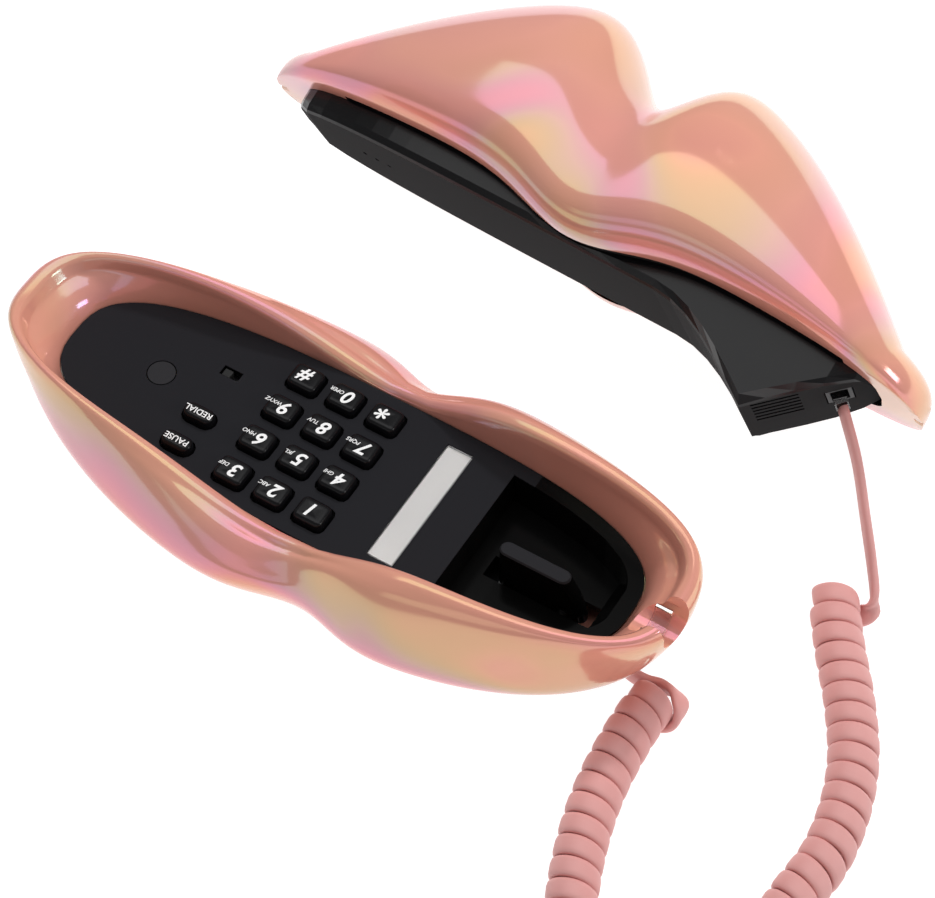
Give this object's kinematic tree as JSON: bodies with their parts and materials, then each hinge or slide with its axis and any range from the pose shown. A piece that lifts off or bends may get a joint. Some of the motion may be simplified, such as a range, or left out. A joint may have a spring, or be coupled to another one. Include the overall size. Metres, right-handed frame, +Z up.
{
  "type": "novelty telephone",
  "caption": "Lip-shaped corded push-button telephone, handset lifted off and lying behind the base, curly cord on the table.",
  "frame": {"origin": "centre of the base-and-handset bounding box, on the surface they stand on", "axes": "+X along the long side of the base towards the end the curly cord leaves, +Y from the base towards the handset, +Z up"},
  "size_m": [0.2913, 0.2708, 0.0879],
  "materials": {
    "pearl_pink": "gloss, iridescent pearl lacquer",
    "matt_black": "fine matt",
    "gloss_black": "gloss",
    "rubber_dark": "matt",
    "rubber_grey": "matt",
    "board_green": "satin solder mask",
    "steel": "satin",
    "brass": "satin",
    "paper_white": "matt printed card",
    "clear": "clear gloss",
    "cord_pink": "soft satin"
  },
  "bodies": {
    "base": {"base_shell": "pearl_pink", "bottom_cover": "matt_black", "cover_screw_1": "steel", "cover_screw_2": "steel", "cover_screw_3": "steel", "cover_screw_4": "steel", "rubber_foot_1": "rubber_dark", "rubber_foot_2": "rubber_dark", "rubber_foot_3": "rubber_dark", "rubber_foot_4": "rubber_dark", "faceplate": "matt_black", "label_card": "paper_white", "label_window": "clear", "panel_plug": "matt_black", "ringer_switch_body": "steel", "main_board": "board_green", "key_mat": "rubber_grey", "ringer_disc": "brass", "base_weight": "steel", "hook_switch": "matt_black", "hook_pivot_pin": "steel", "base_jack": "matt_black", "base_plug": "clear", "line_jack": "matt_black", "notch_guide": "clear", "base_lead": "cord_pink", "cord_coil": "cord_pink"},
    "handset": {"handset_shell": "pearl_pink", "handset_cover": "gloss_black", "handset_jack": "matt_black", "handset_plug": "clear", "handset_lead": "cord_pink", "ear_receiver": "steel", "handset_weight": "steel", "microphone": "steel"},
    "hook_lever": {"hook_lever": "gloss_black"},
    "ringer_switch": {"ringer_switch_knob": "matt_black"},
    "key_1": {"key_1": "gloss_black"},
    "key_2": {"key_2": "gloss_black"},
    "key_3": {"key_3": "gloss_black"},
    "key_4": {"key_4": "gloss_black"},
    "key_5": {"key_5": "gloss_black"},
    "key_6": {"key_6": "gloss_black"},
    "key_7": {"key_7": "gloss_black"},
    "key_8": {"key_8": "gloss_black"},
    "key_9": {"key_9": "gloss_black"},
    "key_star": {"key_star": "gloss_black"},
    "key_0": {"key_0": "gloss_black"},
    "key_hash": {"key_hash": "gloss_black"},
    "key_redial": {"key_redial": "gloss_black"},
    "key_pause": {"key_pause": "gloss_black"}
  },
  "joints": [
    {"name": "key_1_press", "type": "slide", "parent": "base", "child": "key_1", "axis": [0, 0, -1], "range_m": [0, 0.0015], "stiffness_N_per_m": 600},
    {"name": "key_2_press", "type": "slide", "parent": "base", "child": "key_2", "axis": [0, 0, -1], "range_m": [0, 0.0015], "stiffness_N_per_m": 600},
    {"name": "key_3_press", "type": "slide", "parent": "base", "child": "key_3", "axis": [0, 0, -1], "range_m": [0, 0.0015], "stiffness_N_per_m": 600},
    {"name": "key_4_press", "type": "slide", "parent": "base", "child": "key_4", "axis": [0, 0, -1], "range_m": [0, 0.0015], "stiffness_N_per_m": 600},
    {"name": "key_5_press", "type": "slide", "parent": "base", "child": "key_5", "axis": [0, 0, -1], "range_m": [0, 0.0015], "stiffness_N_per_m": 600},
    {"name": "key_6_press", "type": "slide", "parent": "base", "child": "key_6", "axis": [0, 0, -1], "range_m": [0, 0.0015], "stiffness_N_per_m": 600},
    {"name": "key_7_press", "type": "slide", "parent": "base", "child": "key_7", "axis": [0, 0, -1], "range_m": [0, 0.0015], "stiffness_N_per_m": 600},
    {"name": "key_8_press", "type": "slide", "parent": "base", "child": "key_8", "axis": [0, 0, -1], "range_m": [0, 0.0015], "stiffness_N_per_m": 600},
    {"name": "key_9_press", "type": "slide", "parent": "base", "child": "key_9", "axis": [0, 0, -1], "range_m": [0, 0.0015], "stiffness_N_per_m": 600},
    {"name": "key_star_press", "type": "slide", "parent": "base", "child": "key_star", "axis": [0, 0, -1], "range_m": [0, 0.0015], "stiffness_N_per_m": 600},
    {"name": "key_0_press", "type": "slide", "parent": "base", "child": "key_0", "axis": [0, 0, -1], "range_m": [0, 0.0015], "stiffness_N_per_m": 600},
    {"name": "key_hash_press", "type": "slide", "parent": "base", "child": "key_hash", "axis": [0, 0, -1], "range_m": [0, 0.0015], "stiffness_N_per_m": 600},
    {"name": "key_redial_press", "type": "slide", "parent": "base", "child": "key_redial", "axis": [0, 0, -1], "range_m": [0, 0.0015], "stiffness_N_per_m": 600},
    {"name": "key_pause_press", "type": "slide", "parent": "base", "child": "key_pause", "axis": [0, 0, -1], "range_m": [0, 0.0015], "stiffness_N_per_m": 600},
    {"name": "hook_lever_pivot", "type": "hinge", "parent": "base", "child": "hook_lever", "pos_m": [0.0408, -0.0589, 0.01], "axis": [0, 1, 0], "range_deg": [0, 6], "stiffness_Nm_per_rad": 0.15, "springref_deg": -5.73},
    {"name": "ringer_switch_slide", "type": "slide", "parent": "base", "child": "ringer_switch", "axis": [1, 0, 0], "range_m": [0, 0.0026]},
    {"name": "handset_lift", "type": "slide", "parent": "base", "child": "handset", "axis": [0, 0, 1], "range_m": [0, 0.15]}
  ]
}
